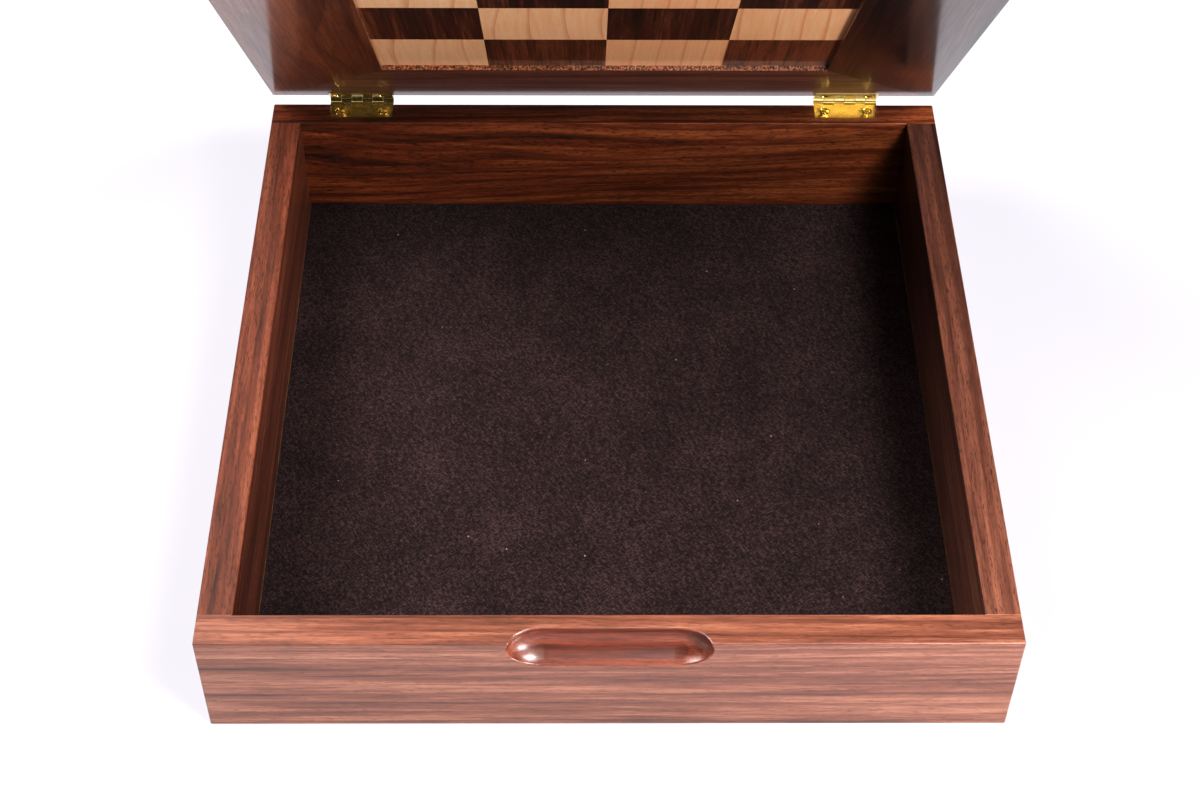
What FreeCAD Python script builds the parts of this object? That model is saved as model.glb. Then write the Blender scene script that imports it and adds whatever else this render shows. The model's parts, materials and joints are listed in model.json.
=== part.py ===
"""A square walnut box with a felt-lined tray and a hinged lid that is a chess board.

Millimetres. The origin is the centre of the box's underside: +Z up, -Y to the front
(the side with the finger grip), +X to the right. The lid is drawn closed and then
swung open about the hinge pins, which is how the part is stored.
"""
import FreeCAD, Part
import math
import os

from FreeCAD import Vector

# Box: four boards, butted at the corners
box_width = 305.0
box_depth = 305.0
box_height = 52.4
board_thickness = 13.4
arris = 0.7                   # radius sanded on the long outer edges
rim_arris = 0.5               # radius sanded on the rim's inner edges
dowel_radius = 3.0
dowel_in_face = 8.0           # how deep a dowel sits in the front or back board
dowel_in_end = 20.0           # how deep it sits in the side board's end grain
dowel_edge_distance = 14.0    # dowel axis to the board's top or bottom edge

# Bottom and felt
bottom_thickness = 2.0
bottom_rabbet = 6.0           # how far the bottom reaches under the boards
felt_thickness = 0.7

# Finger grip in the front board's top outer edge
grip_length = 76.5
grip_radius = 9.5
grip_axis_out = 1.5           # cutter axis in front of the board's face
grip_axis_down = 4.2          # cutter axis below the rim
grip_end = 14.0               # length of each rounded end

# Lid: mitred frame, lipped below, with a panel dropped in from above
square = 50.8                 # one square of the underside, four to a side
lip_overlap = 4.4             # how far the lip covers the panel's edge
lip_thickness = 2.3
facing_thickness = 1.6        # the wooden squares on both faces of the core
core_thickness = 7.9
lip_arris = 0.4
lid_back_round = 5.0          # radius of the lid's lower back edge
spline_length = 30.0
spline_width = 20.0
spline_thickness = 3.0
open_angle = 51.8             # how far the lid stands open where it is stored

# Hinges, two alike
hinge_length = 29.0
hinge_from_side = 40.7        # hinge centre to the box's side
leaf_width = 12.5             # pin axis to the leaf's far edge
leaf_thickness = 1.0
knuckle_radius = 1.5
knuckle_count = 6
pin_radius = 0.8
axis_behind = 3.0             # pin axis behind the box's back
axis_above = 0.3              # pin axis above the rim
screw_spacing = 19.7
screw_setback = 8.0           # screw to pin axis
screw_head_radius = 2.2
screw_head_dome = 0.3         # crown over rim; the crown is level with the leaf
screw_head_cone = 0.65
screw_radius = 1.1
screw_length = 9.0
recess_width = 0.6
recess_reach = 1.3            # screw axis to the end of each arm of the cross
recess_depth = 0.55
recess_turn = 40.0            # how far the cross is turned from the box's own axes

# Clearances
glue_gap = 0.05               # between two glued faces that slide together
panel_fit = 0.1
bottom_fit = 0.2
felt_fit = 0.4
leaf_fit = 0.1
leaf_play = 0.1               # leaf face to the plane through the pin axis
knuckle_play = 0.2
countersink_play = 0.15       # round a screw's head, at the leaf's face
running_fit = 0.05            # radial, pin to the lid's knuckles

# Worked out from the sizes above
panel = 4 * square
inner_width = box_width - 2 * board_thickness
inner_depth = box_depth - 2 * board_thickness
lid_thickness = lip_thickness + 2 * facing_thickness + core_thickness
lid_base = box_height + 2 * axis_above
axis_y = box_depth / 2 + axis_behind
axis_z = box_height + axis_above
hinge_centres = {
    "left": -box_width / 2 + hinge_from_side,
    "right": box_width / 2 - hinge_from_side,
}

nodes = {}


def block(x0, x1, y0, y1, z0, z1):
    """A plain box between two corners."""
    return Part.makeBox(x1 - x0, y1 - y0, z1 - z0, Vector(x0, y0, z0))


def centred(width, depth, z0, z1):
    """A plain box centred on the Z axis."""
    return block(-width / 2, width / 2, -depth / 2, depth / 2, z0, z1)


def eased(shape, radius):
    """The shape with every sharp edge rounded."""
    return shape.makeFillet(radius, sharp_edges(shape))


def sharp_edges(shape):
    """The edges where two faces meet at an angle, not those where a round runs out."""
    found = []
    for edge in shape.Edges:
        middle = edge.valueAt((edge.FirstParameter + edge.LastParameter) / 2)
        normals = []
        for face in shape.ancestorsOfType(edge, Part.Face):
            u, v = face.Surface.parameter(middle)
            normals.append(face.normalAt(u, v))
        if len(normals) == 2 and normals[0].getAngle(normals[1]) > math.radians(5):
            found.append(edge)
    return found


def edges_round_opening(shape, width, depth, z):
    """The edges at height z that run round a rectangular opening."""
    found = []
    for edge in shape.Edges:
        box = edge.BoundBox
        level = abs(box.ZMin - z) < 1e-6 and abs(box.ZMax - z) < 1e-6
        on_x = abs(abs(box.Center.x) - width / 2) < 1e-6 and box.XLength < 1e-6
        on_y = abs(abs(box.Center.y) - depth / 2) < 1e-6 and box.YLength < 1e-6
        if level and (on_x or on_y):
            found.append(edge)
    return found


def both_signs():
    """The four corners of a rectangle, as signs of X and Y."""
    return [(-1, -1), (1, -1), (1, 1), (-1, 1)]


# ---------------------------------------------------------------- box


def box_ring():
    """The four boards in one piece, before they are told apart."""
    whole = centred(box_width, box_depth, 0, box_height)
    ring = eased(whole.cut(grip_cutter()), arris)
    ring = ring.cut(centred(inner_width, inner_depth, -1, box_height + 1))
    rim = edges_round_opening(ring, inner_width, inner_depth, box_height)
    ring = ring.makeFillet(rim_arris, rim)
    rabbet_width = inner_width + 2 * bottom_rabbet
    rabbet_depth = inner_depth + 2 * bottom_rabbet
    return ring.cut(centred(rabbet_width, rabbet_depth, -1, bottom_thickness))


def grip_cutter():
    """A round bar with elliptical ends, along X, that scoops the finger grip."""
    shoulder = grip_length / 2 - grip_end
    right_tip = Vector(grip_length / 2, 0, 0)
    left_tip = Vector(-grip_length / 2, 0, 0)
    right_top = Vector(shoulder, 0, grip_radius)
    left_top = Vector(-shoulder, 0, grip_radius)
    right_end = Part.Ellipse(right_tip, right_top, Vector(shoulder, 0, 0))
    left_end = Part.Ellipse(left_tip, left_top, Vector(-shoulder, 0, 0))
    outline = [
        Part.ArcOfEllipse(right_end, 0, math.pi / 2).toShape(),
        Part.LineSegment(right_top, left_top).toShape(),
        Part.ArcOfEllipse(left_end, 0, math.pi / 2).toShape(),
        Part.LineSegment(left_tip, right_tip).toShape(),
    ]
    profile = Part.Face(Part.Wire(Part.sortEdges(outline)[0]))
    cutter = profile.revolve(Vector(0, 0, 0), Vector(1, 0, 0), 360)
    y = -box_depth / 2 - grip_axis_out
    cutter.translate(Vector(0, y, box_height - grip_axis_down))
    return cutter


def corner_dowels():
    """Two dowels at each corner: (axis x, start y, end y, z) for every one."""
    places = []
    for sign_x, sign_y in both_signs():
        x = sign_x * (box_width - board_thickness) / 2
        joint = sign_y * inner_depth / 2
        face_end = joint + sign_y * dowel_in_face
        grain_end = joint - sign_y * dowel_in_end
        for z in (dowel_edge_distance, box_height - dowel_edge_distance):
            places.append((x, min(face_end, grain_end), max(face_end, grain_end), z))
    return places


def rod_along_y(x, y0, y1, z, radius):
    """A cylinder along Y."""
    return Part.makeCylinder(radius, y1 - y0, Vector(x, y0, z), Vector(0, 1, 0))


def build_box():
    """The boards, their dowels, the bottom and the felt."""
    ring = box_ring()
    for x, y0, y1, z in corner_dowels():
        hole = rod_along_y(x, y0 - glue_gap, y1 + glue_gap, z, dowel_radius + glue_gap)
        ring = ring.cut(hole)
    for centre in hinge_centres.values():
        ring = ring.cut(leaf_mortise(centre))
        for x in screw_places(centre):
            ring = ring.cut(pilot_hole(x))
    far = box_width + box_depth
    front = block(-far, far, -far, -inner_depth / 2, -far, far)
    back = block(-far, far, inner_depth / 2, far, -far, far)
    middle = block(-far, far, -inner_depth / 2, inner_depth / 2, -far, far)
    left = block(-far, 0, -far, far, -far, far)
    right = block(0, far, -far, far, -far, far)
    nodes["front_board"] = ring.common(front)
    nodes["back_board"] = ring.common(back)
    nodes["left_side_board"] = ring.common(middle).common(left)
    nodes["right_side_board"] = ring.common(middle).common(right)
    dowels = [rod_along_y(x, y0, y1, z, dowel_radius) for x, y0, y1, z in corner_dowels()]
    nodes["corner_dowels"] = Part.makeCompound(dowels)
    bottom_width = inner_width + 2 * (bottom_rabbet - bottom_fit)
    bottom_depth = inner_depth + 2 * (bottom_rabbet - bottom_fit)
    nodes["bottom_panel"] = centred(bottom_width, bottom_depth, 0, bottom_thickness)
    felt_top = bottom_thickness + felt_thickness
    felt_width = inner_width - 2 * felt_fit
    felt_depth = inner_depth - 2 * felt_fit
    nodes["felt_lining"] = centred(felt_width, felt_depth, bottom_thickness, felt_top)


# ------------------------------------------------------------- hinges
# Each helper draws the half of the hinge that is let into the box. The half in the
# lid is the same shape turned over about the pin axis, which is where it lies when
# the lid is shut.


def turned_over(shape):
    """The shape mirrored in the level plane through the pin axes."""
    return shape.mirror(Vector(0, axis_y, axis_z), Vector(0, 0, 1))


def screw_places(centre):
    """X of the two screws in one leaf."""
    return (centre - screw_spacing / 2, centre + screw_spacing / 2)


def leaf_mortise(centre):
    """The shallow recess that a leaf is let into."""
    half = hinge_length / 2 + leaf_fit
    front = axis_y - leaf_width - leaf_fit
    foot = axis_z - leaf_play - leaf_thickness
    return block(centre - half, centre + half, front, axis_y, foot, axis_z)


def pilot_hole(x):
    """The hole that a screw's shank fills."""
    top = axis_z - leaf_play
    length = screw_length + glue_gap
    radius = screw_radius + glue_gap
    return Part.makeCylinder(radius, length, Vector(x, axis_y - screw_setback, top - length))


def countersink(x):
    """The space in a leaf for a screw: close round the shank, wider round the head."""
    y = axis_y - screw_setback
    top = axis_z - leaf_play
    rim = top - screw_head_dome
    shank = screw_radius + glue_gap
    head = screw_head_radius + countersink_play
    foot = rim - screw_head_cone
    cone = Part.makeCone(shank, head, screw_head_cone, Vector(x, y, foot))
    well = Part.makeCylinder(head, screw_head_dome, Vector(x, y, rim))
    length = leaf_thickness + leaf_play
    return cone.fuse([well, Part.makeCylinder(shank, length, Vector(x, y, top - length))])


def knuckle_spans(centre, first):
    """Start and end of every second knuckle, along X, from knuckle first."""
    pitch = hinge_length / knuckle_count
    left = centre - hinge_length / 2
    spans = []
    for i in range(first, knuckle_count, 2):
        start = left + i * pitch + (knuckle_play / 2 if i > 0 else 0)
        end = left + (i + 1) * pitch - (knuckle_play / 2 if i < knuckle_count - 1 else 0)
        spans.append((start, end))
    return spans


def leaf(centre, first, bore_radius):
    """A hinge leaf let into the box, with knuckles rolled round the pin axis."""
    foot = axis_z - leaf_play - leaf_thickness
    top = axis_z - leaf_play
    half = hinge_length / 2
    clear = axis_y - knuckle_radius - 2 * knuckle_play
    shape = block(centre - half, centre + half, axis_y - leaf_width, clear, foot, top)
    for x in screw_places(centre):
        shape = shape.cut(countersink(x))
    for start, end in knuckle_spans(centre, first):
        origin = Vector(start, axis_y, axis_z)
        barrel = Part.makeCylinder(knuckle_radius, end - start, origin, Vector(1, 0, 0))
        web = block(start, end, clear - knuckle_play, axis_y, foot, top)
        shape = shape.fuse([barrel, web])
    bore_start = Vector(centre - half - 1, axis_y, axis_z)
    bore = Part.makeCylinder(bore_radius, hinge_length + 2, bore_start, Vector(1, 0, 0))
    return shape.cut(bore).removeSplitter()


def screw(x):
    """A countersunk screw with a low domed, cross-recessed head, driven down into the
    box."""
    y = axis_y - screw_setback
    crown = axis_z - leaf_play
    rim = crown - screw_head_dome
    shank_length = screw_length - screw_head_dome - screw_head_cone
    shank = Part.makeCylinder(screw_radius, shank_length, Vector(x, y, crown - screw_length))
    cone_foot = Vector(x, y, rim - screw_head_cone)
    cone = Part.makeCone(screw_radius, screw_head_radius, screw_head_cone, cone_foot)
    dome_radius = (screw_head_radius**2 + screw_head_dome**2) / (2 * screw_head_dome)
    ball = Part.makeSphere(dome_radius, Vector(x, y, crown - dome_radius))
    cap_space = Part.makeCylinder(screw_head_radius, screw_head_dome, Vector(x, y, rim))
    head = shank.fuse([cone, ball.common(cap_space)])
    foot = crown - recess_depth
    recess = centred(2 * recess_reach, recess_width, foot, crown + recess_depth)
    recess = recess.fuse(centred(recess_width, 2 * recess_reach, foot, crown + recess_depth))
    recess.rotate(Vector(0, 0, 0), Vector(0, 0, 1), recess_turn)
    recess.translate(Vector(x, y, 0))
    return head.cut(recess).removeSplitter()


def build_hinges():
    """Both hinges. Returns the names of the nodes that go with the lid."""
    swinging = []
    for side, centre in hinge_centres.items():
        start = Vector(centre - hinge_length / 2, axis_y, axis_z)
        screws = Part.makeCompound([screw(x) for x in screw_places(centre)])
        nodes[side + "_hinge_box_leaf"] = leaf(centre, 1, pin_radius)
        nodes[side + "_hinge_box_screws"] = screws
        pin = Part.makeCylinder(pin_radius, hinge_length, start, Vector(1, 0, 0))
        nodes[side + "_hinge_pin"] = pin
        lid_leaf = turned_over(leaf(centre, 0, pin_radius + running_fit))
        nodes[side + "_hinge_lid_leaf"] = lid_leaf
        nodes[side + "_hinge_lid_screws"] = turned_over(screws)
        swinging += [side + "_hinge_lid_leaf", side + "_hinge_lid_screws"]
    return swinging


# ---------------------------------------------------------------- lid


def is_back_low(edge):
    """Whether an edge of the plain lid is its lower edge along the back."""
    box = edge.BoundBox
    return abs(box.YMin - box_depth / 2) < 1e-6 and abs(box.ZMax - lid_base) < 1e-6


def lid_ring():
    """The mitred frame in one piece, with its lip below and its rabbet above."""
    top = lid_base + lid_thickness
    whole = centred(box_width, box_depth, lid_base, top)
    back_low = [edge for edge in whole.Edges if is_back_low(edge)]
    ring = eased(whole.makeFillet(lid_back_round, back_low), arris)
    opening = panel - 2 * lip_overlap
    ring = ring.cut(centred(opening, opening, lid_base - 1, top + 1))
    lip = edges_round_opening(ring, opening, opening, lid_base)
    ring = ring.makeFillet(lip_arris, lip)
    seat = lid_base + lip_thickness
    return ring.cut(centred(panel + 2 * panel_fit, panel + 2 * panel_fit, seat, top + 1))


def mitre_wedge(corner_a, corner_b):
    """The space between the mitres at two neighbouring corners of the frame."""
    reach = 1.3
    points = []
    for sign_x, sign_y in (corner_a, corner_b):
        outer = Vector(sign_x * box_width / 2, sign_y * box_depth / 2, 0)
        inner = Vector(sign_x * panel / 2, sign_y * panel / 2, 0)
        start = inner + (outer - inner) * reach
        end = outer + (inner - outer) * reach
        points.append((start, end))
    (a_start, a_end), (b_start, b_end) = points
    face = Part.Face(Part.makePolygon([a_start, b_start, b_end, a_end, a_start]))
    face.translate(Vector(0, 0, lid_base - 1))
    return face.extrude(Vector(0, 0, lid_thickness + 2))


def mitre_spline(sign_x, sign_y, gap):
    """The flat key across one mitre, larger all round by gap."""
    outer = Vector(sign_x * box_width / 2, sign_y * box_depth / 2, 0)
    inner = Vector(sign_x * panel / 2, sign_y * panel / 2, 0)
    half_long = spline_length / 2 + gap
    half_wide = spline_width / 2 + gap
    half_thick = spline_thickness / 2 + gap
    key = block(-half_long, half_long, -half_wide, half_wide, -half_thick, half_thick)
    along = outer - inner
    key.rotate(Vector(0, 0, 0), Vector(0, 0, 1), math.degrees(math.atan2(along.y, along.x)))
    middle = (outer + inner) * 0.5
    key.translate(Vector(middle.x, middle.y, lid_base + lid_thickness / 2))
    return key


def square_fields(count, size, z0, z1):
    """Squares laid edge to edge over the panel: {(column, row): solid}. Columns count
    from the left, rows from the hinges."""
    squares = {}
    half = size / 2 - glue_gap / 2
    for column in range(count):
        for row in range(count):
            x = (column + 0.5) * size - panel / 2
            y = panel / 2 - (row + 0.5) * size
            squares[column, row] = block(x - half, x + half, y - half, y + half, z0, z1)
    return squares


def add_squares(prefix, count, size, z0, z1):
    """One node for the maple squares of each row and one for the walnut ones."""
    squares = square_fields(count, size, z0, z1)
    names = []
    for row in range(count):
        for wood, parity in (("maple", 0), ("walnut", 1)):
            columns = [c for c in range(count) if (c + row) % 2 == parity]
            name = f"{prefix}_{row + 1}_{wood}"
            nodes[name] = Part.makeCompound([squares[c, row] for c in columns])
            names.append(name)
    return names


def build_lid():
    """The frame, its splines and the panel. Returns the names of their nodes."""
    ring = lid_ring()
    for centre in hinge_centres.values():
        ring = ring.cut(turned_over(leaf_mortise(centre)))
        for x in screw_places(centre):
            ring = ring.cut(turned_over(pilot_hole(x)))
    for sign_x, sign_y in both_signs():
        ring = ring.cut(mitre_spline(sign_x, sign_y, glue_gap))
    corners = both_signs()
    members = ["lid_front_rail", "lid_right_stile", "lid_back_rail", "lid_left_stile"]
    for i, name in enumerate(members):
        nodes[name] = ring.common(mitre_wedge(corners[i], corners[(i + 1) % 4]))
    nodes["lid_mitre_splines"] = Part.makeCompound(
        [mitre_spline(sign_x, sign_y, 0) for sign_x, sign_y in corners]
    )
    seat = lid_base + lip_thickness
    core_foot = seat + facing_thickness
    core_top = core_foot + core_thickness
    nodes["panel_core"] = centred(panel, panel, core_foot, core_top)
    names = members + ["lid_mitre_splines", "panel_core"]
    names += add_squares("underside_row", 4, square, seat, core_foot)
    names += add_squares("board_rank", 8, panel / 8, core_top, lid_base + lid_thickness)
    return names


build_box()
swinging_nodes = build_hinges() + build_lid()
for name in swinging_nodes:
    nodes[name] = nodes[name].copy()
    nodes[name].rotate(Vector(0, axis_y, axis_z), Vector(-1, 0, 0), open_angle)

os.makedirs("parts", exist_ok=True)
for name, shape in nodes.items():
    solids = shape.Solids
    if not solids or not shape.isValid():
        raise ValueError(f"{name} has {len(solids)} solids, valid: {shape.isValid()}")
    whole = solids[0] if len(solids) == 1 else Part.makeCompound(solids)
    whole.exportStep(os.path.join("parts", name + ".step"))
    volume = sum(solid.Volume for solid in solids)
    print(f"{name}: {len(solids)} solid(s), {volume:.1f} mm3")
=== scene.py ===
import json
import math

import bmesh
import bpy
from mathutils import Matrix, Vector


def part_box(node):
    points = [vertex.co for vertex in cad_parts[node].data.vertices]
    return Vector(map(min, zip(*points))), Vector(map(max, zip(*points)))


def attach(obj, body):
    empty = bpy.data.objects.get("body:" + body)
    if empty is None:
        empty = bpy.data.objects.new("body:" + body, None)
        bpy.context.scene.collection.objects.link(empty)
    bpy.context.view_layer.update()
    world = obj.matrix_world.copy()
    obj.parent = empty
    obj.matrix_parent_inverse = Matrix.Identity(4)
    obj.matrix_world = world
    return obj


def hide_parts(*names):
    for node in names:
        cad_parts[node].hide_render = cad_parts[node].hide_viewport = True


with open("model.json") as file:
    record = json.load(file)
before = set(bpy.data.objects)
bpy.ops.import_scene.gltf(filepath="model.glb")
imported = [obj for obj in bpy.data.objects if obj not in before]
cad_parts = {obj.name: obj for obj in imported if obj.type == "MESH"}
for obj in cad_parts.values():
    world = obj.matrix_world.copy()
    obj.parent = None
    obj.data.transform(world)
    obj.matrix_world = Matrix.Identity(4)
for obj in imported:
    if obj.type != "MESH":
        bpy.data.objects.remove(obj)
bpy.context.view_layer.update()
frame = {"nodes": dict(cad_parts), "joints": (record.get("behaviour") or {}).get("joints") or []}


# ---------------------------------------------------------------- the four boards
# Black walnut, planed, sanded and butted together, then wiped with satin lacquer that
# leaves the pores half open. The front and back boards run the full width, so their
# end grain shows at the sides.

MM = 0.001
ALONG_X = (0, 0, 0)
ALONG_Y = (0, 0, math.pi / 2)
MIDDLE = (0, 0, 0)


def srgb(code):
    """A hex colour as linear RGBA."""
    parts = [int(code[i : i + 2], 16) / 255 for i in (1, 3, 5)]
    return [p / 12.92 if p <= 0.04045 else ((p + 0.055) / 1.055) ** 2.4 for p in parts] + [1.0]


def feed(tree, node, inputs):
    """Gives a shader node its inputs, by name or in the order of its sockets. Each is a
    number, a colour, a vector or another node's output."""
    named = inputs.items() if isinstance(inputs, dict) else enumerate(inputs)
    for name, value in named:
        if isinstance(value, bpy.types.NodeSocket):
            tree.links.new(value, node.inputs[name])
        else:
            node.inputs[name].default_value = value


def add(tree, kind, settings=None, inputs=(), stops=()):
    """Adds a shader node with its settings and inputs, and returns its outputs. stops
    are the colours of a ramp: the first, the last and then those between."""
    node = tree.nodes.new("ShaderNode" + kind)
    for name, value in (settings or {}).items():
        setattr(node, name, value)
    feed(tree, node, inputs)
    for i, (position, colour) in enumerate(stops):
        stop = node.color_ramp.elements[i] if i < 2 else node.color_ramp.elements.new(position)
        stop.position = position
        stop.color = colour
    return node.outputs


TIMES = {"operation": "MULTIPLY"}
TIMES_PLUS = {"operation": "MULTIPLY_ADD"}
MINUS = {"operation": "SUBTRACT"}
SIZE_OF = {"operation": "ABSOLUTE"}
LARGER = {"operation": "MAXIMUM"}
COVER = {"data_type": "RGBA", "blend_type": "MIX"}
STAIN = {"data_type": "RGBA", "blend_type": "MULTIPLY"}
AMOUNT, UNDER, OVER = 0, 6, 7        # where a Mix node takes its share and two colours
MIXED = 2                            # and where it gives the colour they make


def new_material(name):
    """An empty material: its node tree and its surface shader."""
    material = bpy.data.materials.new(name)
    material.use_nodes = True
    tree = material.node_tree
    return material, tree, tree.nodes["Principled BSDF"]


def lay(tree, out_of=MIDDLE, turn=ALONG_X):
    """Object coordinates in millimetres, from a point and turned so that the grain of
    the piece runs along X."""
    place = add(tree, "TexCoord")["Object"]
    inputs = {"Vector": place, "Location": out_of, "Rotation": turn, "Scale": (MM, MM, MM)}
    return add(tree, "Mapping", {"vector_type": "TEXTURE"}, inputs)[0]


LAYER_SHIFT = (3.1, 7.7, 5.3)        # mm, so that no two layers of figure line up


def drawn_out(tree, position, stretch, width, shift, detail=2.0, rough=0.5):
    """Noise in streaks along the grain: width in mm across it, stretch times as long."""
    location = tuple(shift * step for step in LAYER_SHIFT)
    inputs = {"Vector": position, "Location": location, "Scale": (1 / stretch, 1, 1)}
    drawn = add(tree, "Mapping", inputs=inputs)[0]
    inputs = {"Vector": drawn, "Scale": 1 / width, "Detail": detail, "Roughness": rough}
    return add(tree, "TexNoise", inputs=inputs)


WAVE_RATE = 20                       # radians that a Wave texture of scale 1 turns in 1 mm
RING_STRETCH = 20                    # how far the rings' waviness is drawn out by the grain


def sawn(tree, position, pith, ring, wander, seed):
    """Growth rings of a width in mm, round a pith at (y, z) that drifts by up to wander
    along the piece. Returns the bent coordinates, and how late in its year each ring is,
    from 0 to 1."""
    slow = drawn_out(tree, position, stretch=5, width=55, shift=seed, detail=1.5)["Color"]
    bent = add(tree, "VectorMath", TIMES_PLUS, (slow, (0, wander, wander), position))[0]
    to_pith = (0, -pith[0] - wander / 2, -pith[1] - wander / 2)
    inputs = {"Vector": bent, "Location": to_pith, "Scale": (1 / RING_STRETCH, 1, 1)}
    round_pith = add(tree, "Mapping", inputs=inputs)[0]
    settings = {"wave_type": "RINGS", "rings_direction": "X", "wave_profile": "SAW"}
    inputs = {"Vector": round_pith, "Scale": math.tau / WAVE_RATE / ring,
              "Distortion": 1.0, "Detail": 2.0, "Detail Scale": 1.5}
    return bent, add(tree, "TexWave", settings, inputs)["Fac"]


FARTHEST = (300, 24, 24)             # mm from which the wood of a square may be taken


def shuffled(tree, position, square):
    """Moves the figure of each square somewhere else in the tree. Returns the moved
    position and a random number for the square."""
    inputs = {"Vector": position, "Scale": (1 / square, 1 / square, 0)}
    cells = add(tree, "Mapping", inputs=inputs)[0]
    corner = add(tree, "VectorMath", {"operation": "FLOOR"}, (cells,))[0]
    noise = add(tree, "TexWhiteNoise", {"noise_dimensions": "3D"}, {"Vector": corner})
    moved = add(tree, "VectorMath", TIMES_PLUS, (noise["Color"], FARTHEST, position))[0]
    return moved, noise["Value"]


def walnut(name, shades, pith, seed, turn=ALONG_X, out_of=MIDDLE, ring=5.0, wander=10.0,
           lines=0.55, open_pores=0.75, paler=0.0, coat=0.35, coat_rough=0.13, square=None):
    """Black walnut under satin lacquer: brown, with soft dark growth lines, long
    streaks, and the short dark dashes of its open pores. shades are its dark, middle and
    light brown, lines and open_pores say how strongly those show, and paler is how much
    lighter it gets with each mm along the grain. square is the side of inlaid squares."""
    material, tree, surface = new_material(name)
    position = lay(tree, out_of, turn)
    if square:
        position, chance = shuffled(tree, position, square)
    bent, rings = sawn(tree, position, pith, ring, wander, seed)
    bands = drawn_out(tree, bent, 20, 9, seed + 1, 3.0, 0.55)["Fac"]
    streaks = drawn_out(tree, bent, 28, 1.5, seed + 2, 3.0, 0.6)["Fac"]
    fibres = drawn_out(tree, bent, 16, 0.5, seed + 3, 2.0, 0.6)["Fac"]
    dashes = drawn_out(tree, bent, 7, 0.5, seed + 4, 1.0, 0.5)["Fac"]
    late = add(tree, "MapRange", inputs=(rings, 0.45, 0.97))[0]
    along = add(tree, "SeparateXYZ", inputs=(position,))[0]
    tone = add(tree, "Math", TIMES, (streaks, 0.8))[0]
    for layer, weight in ((bands, 0.9), (fibres, 0.4), (late, -0.25 * lines), (along, paler)):
        tone = add(tree, "Math", TIMES_PLUS, (layer, weight, tone))[0]
    darkest, lightest = 0.6, 1.4
    if square:
        darkest, lightest = 0.8, 1.2
        off_middle = add(tree, "Math", MINUS, (chance, 0.5))[0]
        tone = add(tree, "Math", TIMES_PLUS, (off_middle, 0.35, tone))[0]
    tone = add(tree, "MapRange", inputs=(tone, darkest, lightest))[0]
    dark, middle, light = (srgb(shade) for shade in shades)
    stops = ((0.0, dark), (1.0, light), (0.5, middle))
    colour = add(tree, "ValToRGB", inputs=(tone,), stops=stops)[0]
    pores = add(tree, "MapRange", inputs=(dashes, 0.57, 0.65))[0]
    fewer = add(tree, "MapRange", inputs=(rings, 0, 1, 1, 0.5))[0]
    pores = add(tree, "Math", TIMES, (pores, fewer))[0]
    unfilled = add(tree, "Math", TIMES, (pores, open_pores))[0]
    colour = add(tree, "Mix", COVER, {AMOUNT: unfilled, UNDER: colour, OVER: dark})[MIXED]
    raised = add(tree, "Math", TIMES, (fibres, 0.3))[0]
    height = add(tree, "Math", MINUS, (raised, pores))[0]
    inputs = {"Height": height, "Strength": 0.3, "Distance": 0.03 * MM}
    bump = add(tree, "Bump", inputs=inputs)[0]
    rough = add(tree, "MapRange", inputs=(streaks, 0.3, 0.7, 0.46, 0.36))[0]
    feed(tree, surface, {"Base Color": colour, "Roughness": rough, "Normal": bump,
                         "Coat Weight": coat, "Coat Roughness": coat_rough, "Coat IOR": 1.6})
    return material


def dress(name, material):
    """Gives a piece of the design its finish."""
    mesh = frame["nodes"][name].data
    mesh.materials.clear()
    mesh.materials.append(material)


SCOOP_AXIS = (0, -154 * MM, 48.2 * MM)
SCOOP_RADIUS = 9.5                   # mm
SCOOP_SHOULDER = 24.25               # mm from the middle to where its rounded ends begin
SCOOP_END = 14                       # mm that each rounded end is long


def paint_scoop_shade(material):
    """Paints shade into the finger grip: the wood in the scoop is darkened to stand in for the
    shade that falls in its hollow. The cut face lies at a reach of 1 from the cutter's axis."""
    tree = material.node_tree
    surface = tree.nodes["Principled BSDF"]
    across, outward, upward = add(tree, "SeparateXYZ", inputs=(lay(tree, SCOOP_AXIS),))
    off_middle = add(tree, "Math", SIZE_OF, (across,))[0]
    past_shoulder = add(tree, "Math", MINUS, (off_middle, SCOOP_SHOULDER))[0]
    into_end = add(tree, "Math", LARGER, (past_shoulder, 0))[0]
    off_axis = add(tree, "CombineXYZ", inputs=(into_end, outward, upward))[0]
    sizes = (SCOOP_END, SCOOP_RADIUS, SCOOP_RADIUS)
    share = add(tree, "VectorMath", {"operation": "DIVIDE"}, (off_axis, sizes))[0]
    reach = add(tree, "VectorMath", {"operation": "LENGTH"}, (share,))["Value"]
    inside = add(tree, "MapRange", inputs=(reach, 1.01, 1.04, 1, 0))[0]
    even = surface.inputs["Base Color"].links[0].from_socket
    # painted shade: this colour darkens the wood in the scoop's hollow
    inputs = {AMOUNT: inside, UNDER: even, OVER: srgb("#dcb6a6")}
    feed(tree, surface, {"Base Color": add(tree, "Mix", STAIN, inputs)[MIXED]})
    return material


front_walnut = walnut("walnut_front_board", ("#3f2117", "#7f4f3d", "#af7e65"), (40, -160), 1,
                      ring=4, wander=6, open_pores=0.4, coat=0.65, coat_rough=0.28)
back_walnut = walnut("walnut_back_board", ("#2b1309", "#74391c", "#ac6a40"), (75, 85), 2,
                     wander=34, lines=0.8, paler=0.0007)
left_walnut = walnut("walnut_left_side_board", ("#30170e", "#683826", "#915a41"), (100, -20), 3,
                     ALONG_Y)
# paler=-0.001 on the right board is painted shade: it darkens towards the back, where the open
# lid shades it
right_walnut = walnut("walnut_right_side_board", ("#3c221a", "#694235", "#90614d"), (-20, -90), 4,
                      ALONG_Y, paler=-0.001)
dress("front_board", paint_scoop_shade(front_walnut))
dress("back_board", back_walnut)
dress("left_side_board", left_walnut)
dress("right_side_board", right_walnut)


# ---------------------------------------------------------- dowels and thin bottom
# Beech dowels inside the butt joints, and birch plywood let into a rabbet under the
# boards. Both are only sanded.


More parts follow.
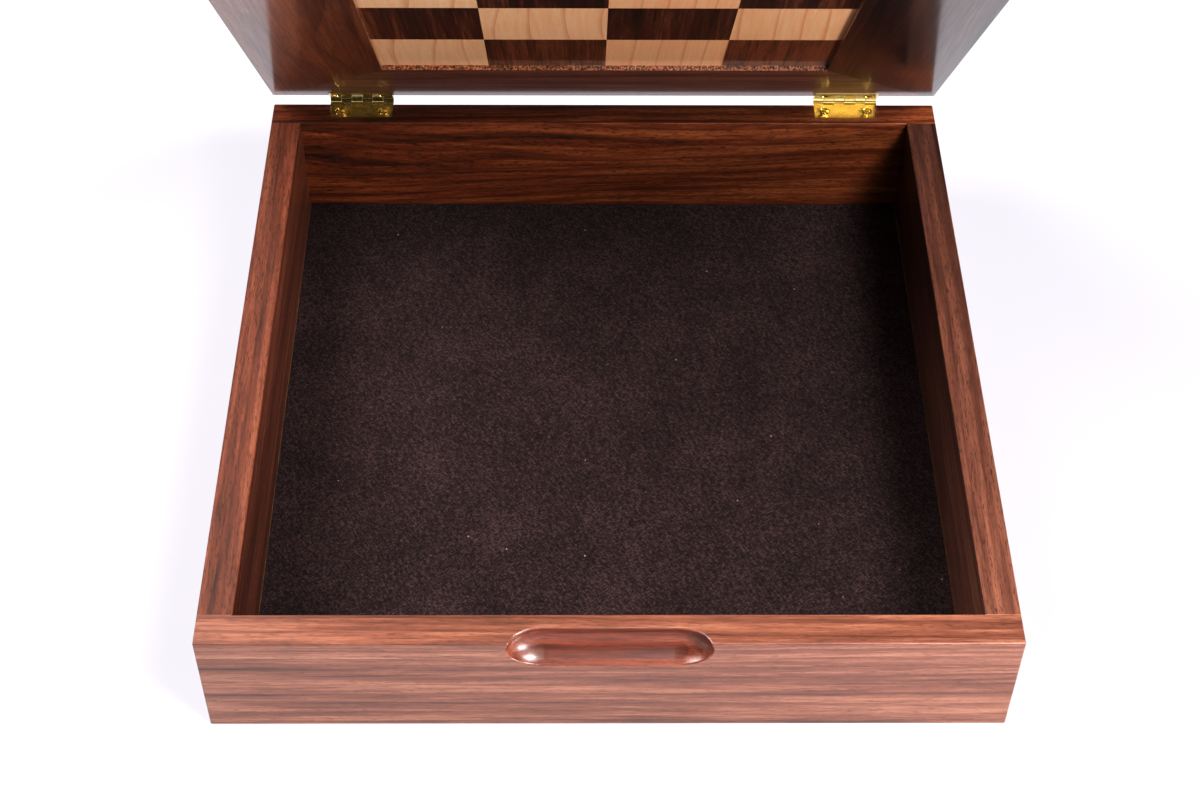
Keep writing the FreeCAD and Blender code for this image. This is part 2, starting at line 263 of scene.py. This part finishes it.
def pale_wood(name, shade, turn=ALONG_X):
    """Bare pale wood: dry, with a quiet grain."""
    material, tree, surface = new_material(name)
    position = lay(tree, turn=turn)
    bent, rings = sawn(tree, position, pith=(300, 120), ring=9, wander=40, seed=7)
    streaks = drawn_out(tree, bent, 20, 2.5, 3, 4.0, 0.6)["Fac"]
    fibres = drawn_out(tree, bent, 12, 0.6, 5)["Fac"]
    tone = add(tree, "Math", TIMES, (rings, 0.5))[0]
    tone = add(tree, "Math", TIMES_PLUS, (streaks, 0.5, tone))[0]
    inputs = {AMOUNT: tone, UNDER: srgb(shade), OVER: srgb("#dcc9ac")}
    colour = add(tree, "Mix", STAIN, inputs)[MIXED]
    inputs = {"Height": fibres, "Strength": 0.3, "Distance": 0.04 * MM}
    bump = add(tree, "Bump", inputs=inputs)[0]
    feed(tree, surface, {"Base Color": colour, "Roughness": 0.6, "Normal": bump})
    return material


plywood = pale_wood("birch_plywood_sanded", "#dcc096")
dress("corner_dowels", pale_wood("beech_dowel", "#d6ac82", ALONG_Y))
dress("bottom_panel", plywood)


# ------------------------------------------------------------------------ the felt
# A square of pressed brown felt, cut a little small and stuck down on the bottom. Its
# short fibres lie every way, and a few pale specks of lint have settled in it.

FELT_CELLS = 120                     # along each side
FELT_LIFT = 0.02 * MM                # of its underside, clear of the plywood
LINT_SPACING = 8                     # mm between places where a speck may lie
ONE_WAY = (0, 0, 0.5)                # two ways for fibres to lie, nearly square
OTHER_WAY = (0, 0, 2.1)              # to each other
felt_low, felt_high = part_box("felt_lining")
felt_width = felt_high.x - felt_low.x
felt_depth = felt_high.y - felt_low.y


def felt_material():
    """Pressed wool felt: matt, with a fine speckle of crossing fibres, which are drawn
    about twice as coarse as wool so that they show."""
    material, tree, surface = new_material("brown_wool_felt")
    position = lay(tree)
    one = drawn_out(tree, lay(tree, turn=ONE_WAY), 4, 0.45, 1, 2.0, 0.6)["Fac"]
    two = drawn_out(tree, lay(tree, turn=OTHER_WAY), 4, 0.45, 2, 2.0, 0.6)["Fac"]
    cloud = drawn_out(tree, position, 1, 25, 3, 4.0, 0.6)["Fac"]
    both = add(tree, "Math", {"operation": "ADD"}, (one, two))[0]
    tone = add(tree, "Math", TIMES_PLUS, (cloud, 0.3, both))[0]
    tone = add(tree, "MapRange", inputs=(tone, 0.85, 1.45))[0]
    stops = ((0.0, srgb("#110909")), (1.0, srgb("#4e3b3b")), (0.5, srgb("#2a1d1e")))
    colour = add(tree, "ValToRGB", inputs=(tone,), stops=stops)[0]
    inputs = {"Vector": position, "Scale": 1 / LINT_SPACING, "Randomness": 1.0}
    lint = add(tree, "TexVoronoi", {"feature": "F1"}, inputs)
    chance = add(tree, "SeparateColor", inputs=(lint["Color"],))[0]
    chosen = add(tree, "MapRange", inputs=(chance, 0.84, 0.85))[0]
    near = add(tree, "MapRange", inputs=(lint["Distance"], 0.03, 0.05, 1, 0))[0]
    speck = add(tree, "Math", TIMES, (chosen, near))[0]
    inputs = {AMOUNT: speck, UNDER: colour, OVER: srgb("#a08a80")}
    colour = add(tree, "Mix", COVER, inputs)[MIXED]
    inputs = {"Height": both, "Strength": 0.45, "Distance": 0.12 * MM}
    bump = add(tree, "Bump", inputs=inputs)[0]
    feed(tree, surface, {"Base Color": colour, "Roughness": 0.95, "Normal": bump,
                         "Specular IOR Level": 0.2})
    return material


def place_mesh(name, mesh, material):
    """Makes an object of a finished bmesh, in its finish."""
    data = bpy.data.meshes.new(name)
    mesh.to_mesh(data)
    mesh.free()
    data.materials.append(material)
    placed = bpy.data.objects.new(name, data)
    bpy.context.scene.collection.objects.link(placed)
    return placed


felt_mesh = bmesh.new()
bmesh.ops.create_grid(felt_mesh, x_segments=FELT_CELLS, y_segments=FELT_CELLS, size=0.5)
bmesh.ops.scale(felt_mesh, vec=(felt_width, felt_depth, 1), verts=felt_mesh.verts)
felt_middle = (felt_low + felt_high) / 2
felt_top = (felt_middle.x, felt_middle.y, felt_high.z)
bmesh.ops.translate(felt_mesh, vec=felt_top, verts=felt_mesh.verts)
felt_sheet = place_mesh("felt_sheet", felt_mesh, felt_material())
pressed = felt_sheet.modifiers.new("cloth_thickness", "SOLIDIFY")
pressed.thickness = felt_high.z - felt_low.z - FELT_LIFT
pressed.offset = -1
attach(felt_sheet, "box")
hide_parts("felt_lining")


# ------------------------------------------------------------------- brass hinges
# Two pressed butt hinges of yellow brass, polished and lacquered, with six knuckles
# on a brass pin, and four countersunk screws each.

KNUCKLE_RADIUS = 1.5                 # mm
LEAF_START = 2.2                     # mm from the pin's axis, where the leaf is flat
hinge = frame["joints"][0]
pivot = Vector(hinge["pos_m"])


def brass(name, rough):
    """Polished yellow brass with faint brushing and a few dull spots. The knuckles are
    rubbed brighter than the leaves."""
    material, tree, surface = new_material(name)
    position = lay(tree)
    lines = drawn_out(tree, position, 16, 0.3, 1)["Fac"]
    spots = drawn_out(tree, position, 1, 2.5, 2, 3.0, 0.6)["Fac"]
    dimmed = add(tree, "MapRange", inputs=(spots, 0.35, 0.75))[0]
    inputs = {AMOUNT: dimmed, UNDER: srgb("#f5e6b4"), OVER: srgb("#eed9a0")}
    colour = add(tree, "Mix", COVER, inputs)[MIXED]
    dull = add(tree, "MapRange", inputs=(spots, 0.3, 0.7, rough - 0.04, rough + 0.08))[0]
    _, behind, above = add(tree, "SeparateXYZ", inputs=(lay(tree, pivot),))
    squared = add(tree, "Math", TIMES, (above, above))[0]
    squared = add(tree, "Math", TIMES_PLUS, (behind, behind, squared))[0]
    off_pin = add(tree, "Math", {"operation": "SQRT"}, (squared,))[0]
    rubbed = add(tree, "MapRange", inputs=(off_pin, KNUCKLE_RADIUS, LEAF_START, 0.8, 1))[0]
    dull = add(tree, "Math", TIMES, (dull, rubbed))[0]
    inputs = {"Height": lines, "Strength": 0.2, "Distance": 0.02 * MM}
    bump = add(tree, "Bump", inputs=inputs)[0]
    feed(tree, surface, {"Base Color": colour, "Roughness": dull, "Normal": bump,
                         "Metallic": 1.0})
    return material


leaf_brass = brass("polished_brass_leaf", 0.17)
screw_brass = brass("turned_brass_screw", 0.13)
for side in ("left", "right"):
    for part in ("box_leaf", "lid_leaf", "pin"):
        dress(f"{side}_hinge_{part}", leaf_brass)
    for part in ("box_screws", "lid_screws"):
        dress(f"{side}_hinge_{part}", screw_brass)


# ---------------------------------------------------------------------- lid frame
# Four mitred walnut members with hidden splines. The grain runs along the rails and
# the stiles, so it turns the corner at the mitres. The lacquer is thicker than on
# the box, and the lip that holds the panel is left as the saw cut it.

LIP_REACH = 97.3                     # mm from the middle, just past the lip's sawn edge
LID_COAT = 1.0
opened = Matrix.Rotation(math.radians(hinge["range_deg"][0]), 3, "X")
lid_centre = pivot + opened @ Vector((0, -pivot.y, 0))
lid_along_x = opened.to_euler()
lid_along_y = (opened @ Matrix.Rotation(math.pi / 2, 3, "Z")).to_euler()


def leave_lip_sawn(material):
    """Shows the edge of the lip as the saw left it: torn, dry and paler."""
    tree = material.node_tree
    surface = tree.nodes["Principled BSDF"]
    position = lay(tree, lid_centre, lid_along_x)
    across, along, _ = add(tree, "SeparateXYZ", inputs=(position,))
    across = add(tree, "Math", SIZE_OF, (across,))[0]
    along = add(tree, "Math", SIZE_OF, (along,))[0]
    off_middle = add(tree, "Math", LARGER, (across, along))[0]
    at_lip = add(tree, "Math", {"operation": "LESS_THAN"}, (off_middle, LIP_REACH))[0]
    torn = drawn_out(tree, position, 1, 0.9, 4, 3.0, 0.7)["Fac"]
    stops = ((0.4, srgb("#34180d")), (0.62, srgb("#c88a62")), (0.5, srgb("#87502f")))
    dry = add(tree, "ValToRGB", inputs=(torn,), stops=stops)[0]
    lacquered = surface.inputs["Base Color"].links[0].from_socket
    inputs = {AMOUNT: at_lip, UNDER: lacquered, OVER: dry}
    feed(tree, surface, {"Base Color": add(tree, "Mix", COVER, inputs)[MIXED]})
    return material


rail_shades = ("#381d15", "#704336", "#9a6552")
members = {
    "lid_front_rail": (rail_shades, (-150, 60), 5, lid_along_x, 12),
    "lid_back_rail": (rail_shades, (60, 120), 6, lid_along_x, 12),
    "lid_left_stile": (("#371a0e", "#6f3d26", "#925a38"), (128, 40), 8, lid_along_y, 26),
    # the right stile's shades are darker partly for its own darker walnut and partly as painted
    # shade, for the little light it gets
    "lid_right_stile": (("#180a06", "#361a11", "#583222"), (-118, 70), 9, lid_along_y, 20),
}
for name, (shades, pith, seed, turn, wander) in members.items():
    wood = walnut("walnut_" + name, shades, pith, seed, turn, lid_centre, wander=wander,
                  lines=0.9, coat=LID_COAT)
    dress(name, leave_lip_sawn(wood))
dress("lid_mitre_splines", plywood)


# ------------------------------------------------------------------- panel squares
# Sawn maple and walnut squares glued to both faces of a plywood core, then sanded
# flush and lacquered with the frame. Their grain runs from the hinges to the front.

SQUARES = {"underside_row": 50.8, "board_rank": 25.4}       # mm
square_shades = ("#140804", "#3f1d0f", "#764228")


def maple(name, square):
    """Hard maple under the same lacquer: cream, with thin brown growth lines."""
    material, tree, surface = new_material(name)
    position, chance = shuffled(tree, lay(tree, lid_centre, lid_along_y), square)
    bent, rings = sawn(tree, position, pith=(150, 110), ring=10, wander=30, seed=3)
    streaks = drawn_out(tree, bent, 25, 2.0, 1, 3.0, 0.55)["Fac"]
    fibres = drawn_out(tree, bent, 10, 0.5, 2)["Fac"]
    off_middle = add(tree, "Math", MINUS, (chance, 0.5))[0]
    tone = add(tree, "Math", TIMES, (streaks, 0.7))[0]
    for layer, weight in ((fibres, 0.3), (off_middle, 0.3)):
        tone = add(tree, "Math", TIMES_PLUS, (layer, weight, tone))[0]
    stops = ((0.2, srgb("#f0b182")), (0.8, srgb("#fad6ac")))
    colour = add(tree, "ValToRGB", inputs=(tone,), stops=stops)[0]
    late = add(tree, "MapRange", inputs=(rings, 0.85, 0.99))[0]
    line = add(tree, "Math", TIMES, (late, 0.45))[0]
    inputs = {AMOUNT: line, UNDER: colour, OVER: srgb("#c8966c")}
    colour = add(tree, "Mix", STAIN, inputs)[MIXED]
    inputs = {"Height": fibres, "Strength": 0.15, "Distance": 0.03 * MM}
    bump = add(tree, "Bump", inputs=inputs)[0]
    feed(tree, surface, {"Base Color": colour, "Roughness": 0.4, "Normal": bump,
                         "Coat Weight": LID_COAT, "Coat Roughness": 0.13})
    return material


dress("panel_core", plywood)
for field, size in SQUARES.items():
    woods = {
        "maple": maple("maple_" + field, size),
        "walnut": walnut("walnut_" + field, square_shades, (60, 120), 11, lid_along_y,
                         lid_centre, lines=0.4, coat=LID_COAT, square=size),
    }
    for name in frame["nodes"]:
        if name.startswith(field):
            dress(name, woods[name.rsplit("_", 1)[1]])


# ------------------------------------------------------------ table, light, camera
# A white table that glows a little, as one lit from all round does. Two large
# softboxes hang to the right and to the left, and a small one stands low in front. A
# card in front shows in the hinges, and another fills in from behind under a faint sky.

TABLE_REACH = 6                      # m from the middle to each side


def table_material():
    """Smooth white laminate with a painted glow, which stands in for strong light from all round,
    so that shadows on it are faint.
    """
    material, tree, surface = new_material("white_table")
    feed(tree, surface, {"Base Color": srgb("#747276"), "Roughness": 0.8,
                         "Emission Color": srgb("#fbf9ff"), "Emission Strength": 0.68})
    return material


table_mesh = bmesh.new()
bmesh.ops.create_grid(table_mesh, x_segments=1, y_segments=1, size=TABLE_REACH)
place_mesh("table", table_mesh, table_material())


def softbox(name, place, aim, size, power):
    """A square diffused light, its side in metres and its power in watts."""
    light = bpy.data.lights.new(name, "AREA")
    light.shape = "SQUARE"
    light.size = size
    light.energy = power
    lamp = bpy.data.objects.new(name, light)
    bpy.context.scene.collection.objects.link(lamp)
    lamp.location = place
    lamp.rotation_euler = (Vector(aim) - Vector(place)).to_track_quat("-Z", "Y").to_euler()


RIM_MIDDLE = (0, 0, 0.05)
softbox("right_softbox", (0.75, -0.6, 1.35), MIDDLE, 0.55, 42)
softbox("left_softbox", (-1.0, 0.1, 1.3), MIDDLE, 1.0, 44)
softbox("front_softbox", (0.9, -1.0, 0.17), RIM_MIDDLE, 0.3, 19.5)
softbox("front_card", (0.46, -1.15, 1.0), RIM_MIDDLE, 0.9, 4)
softbox("back_left_card", (-0.5, 1.5, 1.85), MIDDLE, 0.8, 1.8)

world = bpy.data.worlds.new("studio")
bpy.context.scene.world = world
world.use_nodes = True
sky = world.node_tree.nodes["Background"]
feed(world.node_tree, sky, {"Color": srgb("#f4f5f8"), "Strength": 0.04})

CAMERA_PLACE = (-0.0111, -0.5978, 0.6772)
PAN, TILT, ROLL = (math.radians(degrees) for degrees in (-0.83, 42.154, 0.632))
view = bpy.data.cameras.new("camera")
view.lens = 62.6
camera = bpy.data.objects.new("camera", view)
bpy.context.scene.collection.objects.link(camera)
aim = Matrix.Rotation(PAN, 4, "Z") @ Matrix.Rotation(TILT, 4, "X") @ Matrix.Rotation(ROLL, 4, "Z")
camera.matrix_world = Matrix.Translation(CAMERA_PLACE) @ aim
bpy.context.scene.camera = camera
bpy.context.scene.view_settings.view_transform = "Standard"
bpy.context.scene.view_settings.gamma = 0.75
